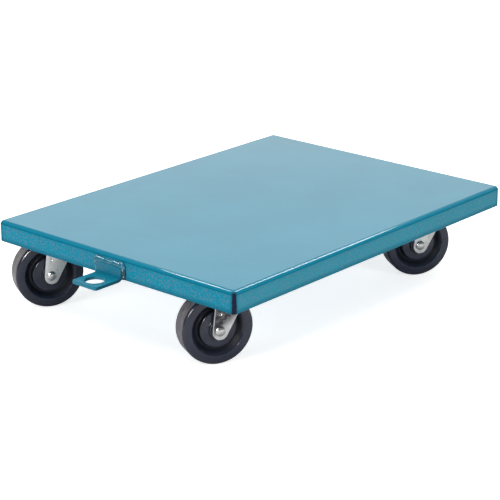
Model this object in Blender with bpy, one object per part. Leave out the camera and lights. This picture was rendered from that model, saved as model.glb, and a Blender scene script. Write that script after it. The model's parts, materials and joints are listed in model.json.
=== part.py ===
"""Furniture dolly: a folded steel pan deck with a welded tow tab, carried on four swivel plate casters.

Run with: blender --background --python part.py
Metres, +Z up. The origin is on the floor, under the middle of the overall footprint (deck plus tow tab).
+X points to the tow end, +Y to the left of someone who faces that way.
"""

import math

import bmesh
import bpy
from mathutils import Vector

MM = 0.001

# ---------------------------------------------------------------- driving dimensions
DECK_LENGTH = 609.6 * MM  # 24 in, along X
DECK_WIDTH = 457.2 * MM  # 18 in, along Y
DECK_TOP = 131.0 * MM  # floor to load face
SHEET = 2.7 * MM  # 12 gauge
SKIRT_DEPTH = 31.75 * MM
BEND_RADIUS = 6.35 * MM  # outside radius of the bends
CORNER_RADIUS = 5.2 * MM  # upright corners, where the skirts are welded and dressed

TAB_WIDTH = 47.8 * MM
TAB_CENTRE_Y = 1.3 * MM
TAB_REACH = 52.0 * MM  # out from the skirt
TAB_THICK = 4.76 * MM
TAB_BOTTOM = 97.4 * MM
TAB_LEG_TOP = 118.0 * MM
TAB_INNER_BEND = 4.0 * MM
TAB_CORNER = 4.5 * MM
TAB_HOLE_RADIUS = 14.1 * MM
TAB_HOLE_REACH = 30.5 * MM  # hole centre, out from the skirt
WELD_LEG = 6.0 * MM
WELD_THROW = 5.4 * MM

KINGPIN_X = 228.6 * MM  # 3 in from each end of the deck
KINGPIN_Y = 165.1 * MM  # 2.5 in from each side
TRAIL = 33.34 * MM  # kingpin axis to axle axis
WHEEL_RADIUS = 50.8 * MM
WHEEL_HALF_WIDTH = 15.9 * MM
HUB_HALF_LENGTH = 18.9 * MM
HUB_BORE = 11.0 * MM

PLATE_X, PLATE_Y = 95.25 * MM, 66.7 * MM
PLATE_THICK = 3.0 * MM
PLATE_CORNER = 5.0 * MM
BOLT_X, BOLT_Y = 76.2 * MM, 44.45 * MM  # stud pitch
STUD_RADIUS = 3.95 * MM
STUD_TIP = 115.8 * MM
SLOT_RADIUS, SLOT_HALF = 4.4 * MM, 3.0 * MM
NUT_ACROSS_FLATS, NUT_HEIGHT, NUT_BORE = 12.7 * MM, 6.6 * MM, 4.25 * MM

FORK_SHEET = 3.0 * MM
FORK_INNER = 19.8 * MM  # half the width between the legs
CROWN_TOP = 114.4 * MM
CROWN_RACE_TOP, CROWN_RACE_BOTTOM = 114.7 * MM, 111.1 * MM
CROWN_RIM_RADIUS, CROWN_RIM_TOP = 27.2 * MM, 118.6 * MM
CROWN_BORE = 6.0 * MM
LEG_END_RADIUS = 10.5 * MM
LEG_END_CENTRE = (32.6 * MM, 48.5 * MM)  # forward of the kingpin axis, above the floor
AXLE_HOLE = 5.0 * MM
LEG_DIMPLE = (32.5 * MM, 74.8 * MM, 2.0 * MM)  # forward, height, radius
DIMPLE_DEPTH = 0.8 * MM

KINGPIN_RADIUS = 4.75 * MM
BALL_UPPER, RING_UPPER, BALLS_UPPER = 2.5 * MM, 19.5 * MM, 9
BALL_LOWER, RING_LOWER, BALLS_LOWER = 2.25 * MM, 13.5 * MM, 7
RETAINER = 0.55 * MM

GAP = 0.3 * MM  # between pieces that touch
RUN = 0.2 * MM  # between a ball and its race

# Each caster: its name, the quadrant of the deck it sits in, and where its wheel trails, in degrees from +X.
CASTERS = [
    ("front_left", 1, 1, -26.8),
    ("front_right", 1, -1, -27.5),
    ("rear_left", -1, 1, -32.6),
    ("rear_right", -1, -1, -29.0),
]

HALF_L, HALF_W = DECK_LENGTH / 2, DECK_WIDTH / 2
ORIGIN_SHIFT = -TAB_REACH / 2  # the deck's centre, seen from the middle of the footprint
PLATE_TOP = DECK_TOP - SHEET - GAP
PLATE_BOTTOM = PLATE_TOP - PLATE_THICK

# ---------------------------------------------------------------- scene and materials
for old in list(bpy.data.objects):
    bpy.data.objects.remove(old)


def material(name, colour, roughness, metallic):
    made = bpy.data.materials.new(name)
    made.use_nodes = True
    shader = made.node_tree.nodes["Principled BSDF"]
    shader.inputs["Base Color"].default_value = (*colour, 1.0)
    shader.inputs["Roughness"].default_value = roughness
    shader.inputs["Metallic"].default_value = metallic
    made.diffuse_color = (*colour, 1.0)
    return made


TEAL = material("teal_enamel", (0.035, 0.27, 0.36), 0.32, 0.0)
ZINC = material("zinc_plate", (0.66, 0.67, 0.67), 0.34, 1.0)
STEEL = material("bearing_steel", (0.55, 0.56, 0.58), 0.22, 1.0)
BLACK = material("black_wheel", (0.022, 0.024, 0.032), 0.36, 0.0)


# ---------------------------------------------------------------- mesh helpers
def finish_mesh(bm, name, merge=1e-7, sharp=32):
    bmesh.ops.remove_doubles(bm, verts=bm.verts, dist=merge)
    bmesh.ops.dissolve_degenerate(bm, dist=merge, edges=bm.edges)
    bmesh.ops.recalc_face_normals(bm, faces=bm.faces)
    mesh = bpy.data.meshes.new(name)
    bm.to_mesh(mesh)
    bm.free()
    mesh.shade_smooth()
    mesh.set_sharp_from_angle(angle=math.radians(sharp))
    return mesh


def place(name, mesh, look, parent, location=(0, 0, 0), rotation=(0, 0, 0)):
    if not mesh.materials:
        mesh.materials.append(look)
    obj = bpy.data.objects.new(name, mesh)
    obj.parent = parent
    obj.location = location
    obj.rotation_euler = rotation
    bpy.context.scene.collection.objects.link(obj)
    return obj


def empty(name, location, parent=None, yaw=0.0):
    obj = bpy.data.objects.new(name, None)
    obj.parent = parent
    obj.location = location
    obj.rotation_euler = (0, 0, yaw)
    bpy.context.scene.collection.objects.link(obj)
    return obj


def turned(profile, steps, name, closed=True, axis="Z", bm=None):
    """A turned piece: the (radius, height) profile spun about the axis. A profile that starts and ends on the axis isn't closed."""
    own = bm is None
    bm = bm or bmesh.new()

    def point(r, h):
        return (r, 0, h) if axis == "Z" else (r, h, 0)

    verts = [bm.verts.new(point(r, h)) for r, h in profile]
    edges = [bm.edges.new(pair) for pair in zip(verts, verts[1:])]
    if closed:
        edges.append(bm.edges.new((verts[-1], verts[0])))
    bmesh.ops.spin(
        bm,
        geom=verts + edges,
        cent=(0, 0, 0),
        axis=(0, 0, 1) if axis == "Z" else (0, 1, 0),
        angle=math.tau,
        steps=steps,
        use_merge=True,
        use_duplicate=False,
    )
    return finish_mesh(bm, name) if own else bm


def arc(centre, radius, start, end, steps):
    """Points along an arc, from start to end degrees."""
    return [
        (
            centre[0] + radius * math.cos(math.radians(start + (end - start) * k / steps)),
            centre[1] + radius * math.sin(math.radians(start + (end - start) * k / steps)),
        )
        for k in range(steps + 1)
    ]


def rounded_rectangle(half_x, half_y, radius, steps):
    points = []
    for sx, sy, start in ((1, 1, 0), (-1, 1, 90), (-1, -1, 180), (1, -1, 270)):
        centre = (sx * (half_x - radius), sy * (half_y - radius))
        points += arc(centre, radius, start, start + 90, steps)
    return points


def slot_outline(cx, cy, radius, half, steps):
    return arc((cx + half, cy), radius, -90, 90, steps) + arc((cx - half, cy), radius, 90, 270, steps)


def filled(bm, outlines, height):
    """One flat face region at a height, bounded by the first outline and holed by the others."""
    edges = []
    for outline in outlines:
        verts = [bm.verts.new((x, y, height)) for x, y in outline]
        edges += [bm.edges.new((verts[k], verts[(k + 1) % len(verts)])) for k in range(len(verts))]
    return bmesh.ops.triangle_fill(bm, use_beauty=True, use_dissolve=False, edges=edges)


def slab(outlines, low, high, name):
    """A flat plate with holes, between two heights."""
    bm = bmesh.new()
    filled(bm, outlines, low)
    grown = bmesh.ops.extrude_face_region(bm, geom=bm.faces[:])
    up = [v for v in grown["geom"] if isinstance(v, bmesh.types.BMVert)]
    bmesh.ops.translate(bm, verts=up, vec=(0, 0, high - low))
    return finish_mesh(bm, name)


def extruded(outline, low, high, along, name):
    """A closed outline extruded along X or Y. The outline's pairs are (y, z) along X, and (x, z) along Y."""
    bm = bmesh.new()
    if along == "X":
        verts = [bm.verts.new((low, a, b)) for a, b in outline]
        move = (high - low, 0, 0)
    else:
        verts = [bm.verts.new((a, low, b)) for a, b in outline]
        move = (0, high - low, 0)
    face = bm.faces.new(verts)
    grown = bmesh.ops.extrude_face_region(bm, geom=[face])
    far = [v for v in grown["geom"] if isinstance(v, bmesh.types.BMVert)]
    bmesh.ops.translate(bm, verts=far, vec=move)
    return finish_mesh(bm, name)


def cylinder(radius, low, high, steps, along, at, name):
    """A plain round bar along Z or Y, used as a cutter."""
    bm = bmesh.new()
    bmesh.ops.create_cone(bm, cap_ends=True, segments=steps, radius1=radius, radius2=radius, depth=high - low)
    if along == "Y":
        for v in bm.verts:
            v.co = Vector((v.co.x, v.co.z, -v.co.y))
        bmesh.ops.translate(bm, verts=bm.verts, vec=(at[0], (low + high) / 2, at[1]))
    else:
        bmesh.ops.translate(bm, verts=bm.verts, vec=(at[0], at[1], (low + high) / 2))
    return finish_mesh(bm, name)


def merged(meshes, name):
    """Several separate shapes in one mesh, to cut or to add in one step."""
    bm = bmesh.new()
    for mesh in meshes:
        bm.from_mesh(mesh)
    made = bpy.data.meshes.new(name)
    bm.to_mesh(made)
    bm.free()
    return made


def combined(mesh, other, operation, name, sharp=32):
    """The result of one exact Boolean between two meshes, as a new mesh."""
    base = bpy.data.objects.new("base", mesh)
    tool = bpy.data.objects.new("tool", other)
    for obj in (base, tool):
        bpy.context.scene.collection.objects.link(obj)
    step = base.modifiers.new("cut", "BOOLEAN")
    step.operation = operation
    step.solver = "EXACT"
    step.object = tool
    bpy.context.view_layer.update()
    graph = bpy.context.evaluated_depsgraph_get()
    made = bpy.data.meshes.new_from_object(base.evaluated_get(graph))
    bpy.data.objects.remove(base)
    bpy.data.objects.remove(tool)
    made.name = name
    made.materials.clear()
    made.shade_smooth()
    made.set_sharp_from_angle(angle=math.radians(sharp))
    return made


# ---------------------------------------------------------------- deck
def deck_mesh():
    """The pan: an outer skin, an inner skin one sheet inside it, and the skirts' bottom rim between them."""
    corner_steps, bend_steps = 5, 5

    def skin(inset, radius):
        rim = DECK_TOP - SKIRT_DEPTH
        corner = CORNER_RADIUS - inset
        loops = [(inset, corner, rim)]
        for k in range(bend_steps + 1):
            turn = math.radians(90) * k / bend_steps
            drawn_in = radius * (1 - math.cos(turn))
            loops.append((inset + drawn_in, corner - drawn_in, DECK_TOP - BEND_RADIUS + radius * math.sin(turn)))
        return loops

    bm = bmesh.new()

    def ring(inset, radius, height):
        outline = rounded_rectangle(HALF_L - inset, HALF_W - inset, max(radius, 0), corner_steps)
        return [bm.verts.new((x, y, height)) for x, y in outline]

    def joined(lower, upper):
        count = len(lower)
        for k in range(count):
            bm.faces.new((lower[k], lower[(k + 1) % count], upper[(k + 1) % count], upper[k]))

    outer = [ring(*spec) for spec in skin(0.0, BEND_RADIUS)]
    inner = [ring(*spec) for spec in skin(SHEET, BEND_RADIUS - SHEET)]
    for loops in (outer, inner):
        for lower, upper in zip(loops, loops[1:]):
            joined(lower, upper)
    joined(outer[0], inner[0])
    bmesh.ops.remove_doubles(bm, verts=bm.verts, dist=1e-6)
    bmesh.ops.holes_fill(bm, edges=[e for e in bm.edges if e.is_boundary], sides=0)
    return finish_mesh(bm, "deck_sheet")


def stud_mesh(x, y):
    """A weld stud, let 1 mm into the sheet it stands on."""
    root, tip = DECK_TOP - SHEET + 1.0 * MM, STUD_TIP
    profile = [
        (0, root),
        (STUD_RADIUS, root),
        (STUD_RADIUS, tip + 0.8 * MM),
        (STUD_RADIUS - 0.8 * MM, tip),
        (0, tip),
    ]
    mesh = turned(profile, 8, "stud", closed=False)
    for v in mesh.vertices:
        v.co += Vector((x, y, 0))
    return mesh


deck_origin = empty("deck_origin", (ORIGIN_SHIFT, 0, 0))
stud_places = [
    (sx * KINGPIN_X + bx * BOLT_X / 2, sy * KINGPIN_Y + by * BOLT_Y / 2)
    for _, sx, sy, _ in CASTERS
    for bx in (1, -1)
    for by in (1, -1)
]
studs = merged([stud_mesh(x, y) for x, y in stud_places], "studs")
place("deck_pan", combined(deck_mesh(), studs, "UNION", "deck_pan"), TEAL, deck_origin)


# ---------------------------------------------------------------- tow tab and its weld
def tab_mesh():
    """A flat bar bent to an L and drilled, its upright leg against the skirt."""
    near = HALF_L + GAP
    far = HALF_L + TAB_REACH
    outer_bend = TAB_INNER_BEND + TAB_THICK
    bend_centre = (near + outer_bend, TAB_BOTTOM + outer_bend)
    side = (
        [(far, TAB_BOTTOM), (far, TAB_BOTTOM + TAB_THICK)]
        + arc(bend_centre, TAB_INNER_BEND, 270, 180, 4)
        + [(near + TAB_THICK, TAB_LEG_TOP), (near, TAB_LEG_TOP)]
        + arc(bend_centre, outer_bend, 180, 270, 4)
    )
    low, high = TAB_CENTRE_Y - TAB_WIDTH / 2, TAB_CENTRE_Y + TAB_WIDTH / 2
    bar = extruded(side, low, high, "Y", "tab_bar")
    plan = (
        [(near - 5 * MM, low - 5 * MM), (far - TAB_CORNER - 12 * MM, low - 5 * MM), (far - TAB_CORNER - 12 * MM, low)]
        + arc((far - TAB_CORNER, low + TAB_CORNER), TAB_CORNER, 270, 360, 4)
        + arc((far - TAB_CORNER, high - TAB_CORNER), TAB_CORNER, 0, 90, 4)
        + [(far - TAB_CORNER - 12 * MM, high), (far - TAB_CORNER - 12 * MM, high + 5 * MM), (near - 5 * MM, high + 5 * MM)]
    )
    # The plan is let a hair past the bar's sides, so that only the two far corners are trimmed.
    hair = 0.05 * MM
    plan = [
        (x if x < far - TAB_CORNER - 1 * MM else x + hair, y + (hair if y > TAB_CENTRE_Y else -hair)) for x, y in plan
    ]
    hole = arc((HALF_L + TAB_HOLE_REACH, TAB_CENTRE_Y), TAB_HOLE_RADIUS, 0, 360, 28)[:-1]
    trim = slab([plan, hole], TAB_BOTTOM - 10 * MM, TAB_LEG_TOP + 10 * MM, "tab_plan")
    return combined(bar, trim, "INTERSECT", "tow_tab")


def weld_mesh():
    """The fillet weld round three sides of the tab's upright leg, against the skirt."""
    half = TAB_WIDTH / 2 + GAP
    start = DECK_TOP - SKIRT_DEPTH + 0.4 * MM
    top = TAB_LEG_TOP + GAP
    stations = [  # a point beside the leg, and the way the bead grows from it in the skirt's plane
        ((-half, start), (-1, 0)),
        ((-half, top), (-1, 1)),
        ((half, top), (1, 1)),
        ((half, start), (1, 0)),
    ]
    section = [(0, 0)] + [
        (WELD_LEG * math.cos(math.radians(a)), WELD_THROW * math.sin(math.radians(a))) for a in (0, 30, 60, 90)
    ]
    bm = bmesh.new()
    rings = []
    for (y, z), (dy, dz) in stations:
        rings.append(
            [
                bm.verts.new((HALF_L + GAP + out, TAB_CENTRE_Y + y + dy * along, z + dz * along))
                for along, out in section
            ]
        )
    for a, b in zip(rings, rings[1:]):
        for k in range(len(section)):
            n = (k + 1) % len(section)
            bm.faces.new((a[k], a[n], b[n], b[k]))
    bm.faces.new(rings[0])
    bm.faces.new(rings[-1])
    return finish_mesh(bm, "tow_tab_weld")


place("tow_tab", tab_mesh(), TEAL, deck_origin)
place("tow_tab_weld", weld_mesh(), TEAL, deck_origin)


# ---------------------------------------------------------------- caster pieces, about the kingpin axis
def top_plate_mesh():
    """The mounting plate: slotted holes near its corners, and a race boss pressed down at its centre."""
    steps = 20
    bm = bmesh.new()
    outline = rounded_rectangle(PLATE_X / 2, PLATE_Y / 2, PLATE_CORNER, 3)
    slots = [
        slot_outline(sx * BOLT_X / 2, sy * BOLT_Y / 2, SLOT_RADIUS, SLOT_HALF, 3) for sx in (1, -1) for sy in (1, -1)
    ]
    low_circle, high_circle = 29.5 * MM, 31.0 * MM
    for height, radius in ((PLATE_BOTTOM, low_circle), (PLATE_TOP, high_circle)):
        filled(bm, [outline, *slots, arc((0, 0), radius, 0, 360, steps)[:-1]], height)
    for loop in (outline, *slots):
        count = len(loop)
        for k in range(count):
            a, b = loop[k], loop[(k + 1) % count]
            bm.faces.new(
                [
                    bm.verts.new(p)
                    for p in (
                        (*a, PLATE_BOTTOM),
                        (*b, PLATE_BOTTOM),
                        (*b, PLATE_TOP),
                        (*a, PLATE_TOP),
                    )
                ]
            )
    boss = CROWN_RACE_TOP + 2 * RUN + 2 * BALL_UPPER
    profile = [
        (low_circle, PLATE_BOTTOM),
        (24.4 * MM, boss + 1.2 * MM),
        (23.2 * MM, boss),
        (KINGPIN_RADIUS + GAP, boss),
        (KINGPIN_RADIUS + GAP, boss + PLATE_THICK),
        (21.6 * MM, boss + PLATE_THICK),
        (high_circle, PLATE_TOP),
    ]
    turned(profile, steps, "", closed=False, bm=bm)
    return finish_mesh(bm, "top_plate", merge=2e-6)


def kingpin_mesh():
    """The rivet that holds the plate, the fork and the lower cup together, with a head at each end."""
    boss_top = CROWN_RACE_TOP + 2 * RUN + 2 * BALL_UPPER + PLATE_THICK
    head_low = boss_top + GAP
    cup_bottom = CROWN_RACE_BOTTOM - 2 * RUN - 2 * BALL_LOWER - 2.0 * MM
    foot_high = cup_bottom - GAP
    profile = [
        (0, head_low + 3.6 * MM),
        (5.0 * MM, head_low + 3.2 * MM),
        (9.0 * MM, head_low + 1.2 * MM),
        (9.0 * MM, head_low),
        (KINGPIN_RADIUS, head_low),
        (KINGPIN_RADIUS, foot_high),
        (8.5 * MM, foot_high),
        (8.5 * MM, foot_high - 1.2 * MM),
        (5.0 * MM, foot_high - 3.1 * MM),
        (0, foot_high - 3.5 * MM),
    ]
    return turned(profile, 12, "kingpin", closed=False)


def lower_cup_mesh():
    """The pressed cup that holds the lower balls up against the fork."""
    floor_top = CROWN_RACE_BOTTOM - 2 * RUN - 2 * BALL_LOWER
    floor_low = floor_top - 2.0 * MM
    profile = [
        (KINGPIN_RADIUS + GAP, floor_low),
        (16.4 * MM, floor_low),
        (17.6 * MM, floor_low + 1.2 * MM),
        (17.6 * MM, floor_top + 3.2 * MM),
        (15.95 * MM, floor_top + 3.2 * MM),
        (15.95 * MM, floor_top),
        (KINGPIN_RADIUS + GAP, floor_top),
    ]
    return turned(profile, 16, "lower_cup")


def ball_ring_mesh(ring, ball, count, height, name):
    """A ring of balls on their retainer wire, as one body: a tube whose thickness follows the balls."""
    sides = 5
    bm = bmesh.new()
    pitch = math.tau / count
    edge = math.sqrt(ball**2 - RETAINER**2) / ring  # where a ball's surface meets the wire, as an angle
    mid = edge * 0.52
    rings = []
    for n in range(count):
        for turn in (-edge, -mid, mid, edge):
            angle = n * pitch + turn
            swell = math.sqrt(max(ball**2 - (turn * ring) ** 2, RETAINER**2))
            centre = Vector((ring * math.cos(angle), ring * math.sin(angle), height))
            outward = Vector((math.cos(angle), math.sin(angle), 0))
            rings.append(
                [
                    bm.verts.new(
                        centre
                        + outward * swell * math.cos(math.tau * k / sides)
                        + Vector((0, 0, swell * math.sin(math.tau * k / sides)))
                    )
                    for k in range(sides)
                ]
            )
    for n, a in enumerate(rings):
        b = rings[(n + 1) % len(rings)]
        for k in range(sides):
            bm.faces.new((a[k], a[(k + 1) % sides], b[(k + 1) % sides], b[k]))
    return finish_mesh(bm, name, sharp=60)


def leg_outline():
    """The fork's side view: forward of the kingpin, and height. The front edge slants down from the crown, the end is round, and the back edge is nearly upright."""
    cx, cz = LEG_END_CENTRE
    front_slope, back_slope = 0.543, 0.114
    front_foot = math.degrees(math.atan2(-front_slope, -1)) % 360
    back_foot = math.degrees(math.atan2(back_slope, 1)) + 360
    foot = arc((cx, cz), LEG_END_RADIUS, front_foot, back_foot, 9)
    fx, fz = foot[0]
    bx, bz = foot[-1]
    top = CROWN_TOP + 6 * MM
    shoulder_z = 97.0 * MM
    shoulder_x = bx - back_slope * (shoulder_z - bz)
    return (
        foot
        + [(shoulder_x, shoulder_z)]
        + arc((shoulder_x - 13 * MM, shoulder_z + 1.5 * MM), 13 * MM, 8, 72, 4)
        + [(21.0 * MM, CROWN_TOP + 0.5 * MM), (21.0 * MM, top), (fx - front_slope * (top - fz), top)]
    )


def fork_mesh():
    """The pressed yoke: a U of sheet cut to the legs' side view, a race cup on its crown, and its holes."""
    outer = FORK_INNER + FORK_SHEET
    bend = 6.0 * MM
    inner_bend = bend - FORK_SHEET
    low = 20.0 * MM
    cz = CROWN_TOP - bend
    channel = (
        [(outer, low)]
        + arc((outer - bend, cz), bend, 0, 90, 4)
        + arc((-outer + bend, cz), bend, 90, 180, 4)
        + [(-outer, low), (-FORK_INNER, low)]
        + arc((-FORK_INNER + inner_bend, cz), inner_bend, 180, 90, 3)
        + arc((FORK_INNER - inner_bend, cz), inner_bend, 90, 0, 3)
        + [(FORK_INNER, low)]
    )
    blank = extruded(channel, -45 * MM, 60 * MM, "X", "fork_channel")
    side = extruded(leg_outline(), -30 * MM, 30 * MM, "Y", "fork_side")
    legs = combined(blank, side, "INTERSECT", "fork_legs")
    cup = turned(
        [
            (0, CROWN_RACE_BOTTOM),
            (25.4 * MM, CROWN_RACE_BOTTOM),
            (CROWN_RIM_RADIUS, CROWN_RACE_BOTTOM + 1.8 * MM),
            (CROWN_RIM_RADIUS, CROWN_RIM_TOP),
            (24.4 * MM, CROWN_RIM_TOP),
            (24.4 * MM, CROWN_RACE_TOP),
            (0, CROWN_RACE_TOP),
        ],
        20,
        "fork_cup",
        closed=False,
    )
    whole = combined(legs, cup, "UNION", "fork_whole")
    dx, dz, dr = LEG_DIMPLE
    face = FORK_INNER + FORK_SHEET - DIMPLE_DEPTH
    holes = merged(
        [
            cylinder(CROWN_BORE, 100 * MM, 125 * MM, 14, "Z", (0, 0), "kingpin_bore"),
            cylinder(AXLE_HOLE, -30 * MM, 30 * MM, 12, "Y", (TRAIL, WHEEL_RADIUS), "axle_bore"),
            cylinder(dr, face, 30 * MM, 10, "Y", (dx, dz), "left_dimple"),
            cylinder(dr, -30 * MM, -face, 10, "Y", (dx, dz), "right_dimple"),
        ],
        "fork_holes",
    )
    return combined(whole, holes, "DIFFERENCE", "fork")


def axle_mesh():
    """The riveted axle, along Y, with a low domed head outside each leg."""
    seat = FORK_INNER + FORK_SHEET + GAP
    end = seat + 3.5 * MM
    profile = [
        (0, end),
        (4.1 * MM, end - 0.5 * MM),
        (6.5 * MM, end - 1.8 * MM),
        (7.2 * MM, seat + 0.4 * MM),
        (7.2 * MM, seat),
        (4.7 * MM, seat),
    ]
    return turned(profile + [(r, -y) for r, y in reversed(profile)], 14, "axle", closed=False, axis="Y")


def bushing_mesh():
    half = FORK_INNER - GAP
    return turned([(5.0 * MM, -half), (6.35 * MM, -half), (6.35 * MM, half), (5.0 * MM, half)], 14, "bushing", axis="Y")


def roller_mesh():
    """The hub's rollers and their cage as one body: a sleeve that swells at each roller."""
    count, steps = 8, 4
    roller, centre = 2.07 * MM, 8.68 * MM
    half = 13.5 * MM
    outer, inner = [], []
    for k in range(count * steps):
        angle = math.tau * k / (count * steps)
        off = (angle + math.pi / count) % (math.tau / count) - math.pi / count
        reach = roller**2 - (centre * math.sin(off)) ** 2
        spread = math.sqrt(reach) if reach > 0 else 0.0
        far = max(9.4 * MM, centre * math.cos(off) + spread)
        near = min(7.9 * MM, centre * math.cos(off) - spread)
        outer.append((far * math.cos(angle), far * math.sin(angle)))
        inner.append((near * math.cos(angle), near * math.sin(angle)))
    bm = bmesh.new()
    loops = [[bm.verts.new((x, y, z)) for x, z in points] for points, y in ((outer, -half), (outer, half), (inner, half), (inner, -half))]
    total = count * steps
    for a, b in zip(loops, loops[1:] + loops[:1]):
        for k in range(total):
            n = (k + 1) % total
            bm.faces.new((a[k], a[n], b[n], b[k]))
    return finish_mesh(bm, "roller_bearing", sharp=50)


def wheel_mesh():
    """The moulded wheel, along Y: a flat rim ring, a sloped groove, a hub disc and a short boss on each face."""
    half = [
        (HUB_BORE, HUB_HALF_LENGTH),
        (13.2 * MM, HUB_HALF_LENGTH),
        (14.0 * MM, 14.4 * MM),
        (25.8 * MM, 14.4 * MM),
        (26.9 * MM, 7.0 * MM),
        (30.6 * MM, 7.0 * MM),
        (38.2 * MM, WHEEL_HALF_WIDTH),
        (47.8 * MM, WHEEL_HALF_WIDTH),
        (WHEEL_RADIUS, 12.9 * MM),
    ]
    return turned(half + [(r, -y) for r, y in reversed(half)], 32, "wheel", axis="Y")


def nut_mesh():
    hexagon = arc((0, 0), NUT_ACROSS_FLATS / 2 / math.cos(math.radians(30)), 0, 360, 6)[:-1]
    bore = arc((0, 0), NUT_BORE, 0, 360, 10)[:-1]
    top = PLATE_BOTTOM - GAP
    return slab([hexagon, bore], top - NUT_HEIGHT, top, "nut")


plate, kingpin, cup, nut = top_plate_mesh(), kingpin_mesh(), lower_cup_mesh(), nut_mesh()
upper_balls = ball_ring_mesh(RING_UPPER, BALL_UPPER, BALLS_UPPER, CROWN_RACE_TOP + RUN + BALL_UPPER, "upper_balls")
lower_balls = ball_ring_mesh(RING_LOWER, BALL_LOWER, BALLS_LOWER, CROWN_RACE_BOTTOM - RUN - BALL_LOWER, "lower_balls")
fork, axle, bushing, rollers, wheel = fork_mesh(), axle_mesh(), bushing_mesh(), roller_mesh(), wheel_mesh()

for name, sx, sy, yaw in CASTERS:
    fixed = empty(f"{name}_mount", (sx * KINGPIN_X, sy * KINGPIN_Y, 0), deck_origin)
    place(f"{name}_top_plate", plate, ZINC, fixed)
    place(f"{name}_kingpin", kingpin, ZINC, fixed)
    place(f"{name}_lower_cup", cup, ZINC, fixed)
    place(f"{name}_upper_balls", upper_balls, STEEL, fixed, rotation=(0, 0, math.radians(yaw)))
    place(f"{name}_lower_balls", lower_balls, STEEL, fixed, rotation=(0, 0, math.radians(yaw)))
    for n, (bx, by) in enumerate(((1, 1), (1, -1), (-1, 1), (-1, -1)), 1):
        place(f"{name}_nut_{n}", nut, ZINC, fixed, location=(bx * BOLT_X / 2, by * BOLT_Y / 2, 0))
    swivel = empty(f"{name}_swivel", (0, 0, 0), fixed, math.radians(yaw))
    place(f"{name}_fork", fork, ZINC, swivel)
    hub = empty(f"{name}_hub", (TRAIL, 0, WHEEL_RADIUS), swivel)
    place(f"{name}_axle", axle, ZINC, hub)
    place(f"{name}_bushing", bushing, STEEL, hub)
    place(f"{name}_roller_bearing", rollers, STEEL, hub)
    place(f"{name}_wheel", wheel, BLACK, hub)
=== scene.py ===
"""Looks of the furniture dolly: enamelled pan deck with a welded tow tab, on zinc-plated swivel casters with hard black wheels."""

import json
import math

import bmesh
import bpy
from mathutils import Matrix, Vector, noise

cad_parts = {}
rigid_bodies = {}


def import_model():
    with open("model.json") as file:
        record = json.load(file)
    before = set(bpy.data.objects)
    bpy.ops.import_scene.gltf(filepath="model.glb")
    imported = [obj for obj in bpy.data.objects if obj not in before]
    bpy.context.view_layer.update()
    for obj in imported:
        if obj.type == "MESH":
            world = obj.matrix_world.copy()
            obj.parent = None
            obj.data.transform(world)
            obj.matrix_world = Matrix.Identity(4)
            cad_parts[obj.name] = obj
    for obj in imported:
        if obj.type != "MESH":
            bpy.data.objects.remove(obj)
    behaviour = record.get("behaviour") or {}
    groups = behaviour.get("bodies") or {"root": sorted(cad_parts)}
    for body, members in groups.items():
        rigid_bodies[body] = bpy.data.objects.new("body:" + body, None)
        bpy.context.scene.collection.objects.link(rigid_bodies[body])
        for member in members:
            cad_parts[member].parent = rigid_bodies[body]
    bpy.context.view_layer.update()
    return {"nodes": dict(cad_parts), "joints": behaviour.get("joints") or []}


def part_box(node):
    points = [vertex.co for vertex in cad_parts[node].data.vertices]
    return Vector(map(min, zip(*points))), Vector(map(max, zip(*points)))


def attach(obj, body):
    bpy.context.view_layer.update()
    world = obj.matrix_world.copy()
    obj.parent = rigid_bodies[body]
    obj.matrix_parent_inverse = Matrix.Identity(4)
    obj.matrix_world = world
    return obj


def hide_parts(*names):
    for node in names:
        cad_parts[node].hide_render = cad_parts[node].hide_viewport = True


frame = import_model()
MM = 0.001

JOINTS = {j["name"]: j for j in frame["joints"]}
CASTERS = ("front_left", "front_right", "rear_left", "rear_right")


# ================================================================ places, read from the frame, with a few sizes given
def mid(node):
    lo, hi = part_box(node)
    return (lo + hi) / 2


DECK_LO, DECK_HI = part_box("deck_pan")
DECK_TOP = DECK_HI.z
HALF_L, HALF_W = (DECK_HI.x - DECK_LO.x) / 2, (DECK_HI.y - DECK_LO.y) / 2
DECK_X = (DECK_HI.x + DECK_LO.x) / 2
RIM = 99.25 * MM
SHEET = 2.7 * MM
BEND, CORNER = 6.35 * MM, 5.2 * MM
PLATE_LO, PLATE_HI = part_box("front_left_top_plate")
PLATE_TOP = PLATE_HI.z
PLATE_BOTTOM = PLATE_TOP - 3.0 * MM
TAB_LO, TAB_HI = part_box("tow_tab")


# ================================================================ mesh helpers
def mesh_from(bm, name, sharp=34):
    bmesh.ops.remove_doubles(bm, verts=bm.verts, dist=1e-7)
    bmesh.ops.recalc_face_normals(bm, faces=bm.faces)
    mesh = bpy.data.meshes.new(name)
    bm.to_mesh(mesh)
    bm.free()
    mesh.shade_smooth()
    mesh.set_sharp_from_angle(angle=math.radians(sharp))
    return mesh


def add(name, mesh, mat, body, replaces=(), matrix=None):
    obj = bpy.data.objects.new(name, mesh)
    bpy.context.scene.collection.objects.link(obj)
    if matrix is not None:
        obj.matrix_world = matrix
    if not mesh.materials:
        mesh.materials.append(mat)
    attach(obj, body)
    if replaces:
        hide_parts(*replaces)
    return obj


def arc(centre, radius, start, end, steps):
    return [
        (
            centre[0] + radius * math.cos(math.radians(start + (end - start) * k / steps)),
            centre[1] + radius * math.sin(math.radians(start + (end - start) * k / steps)),
        )
        for k in range(steps + 1)
    ]


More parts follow.
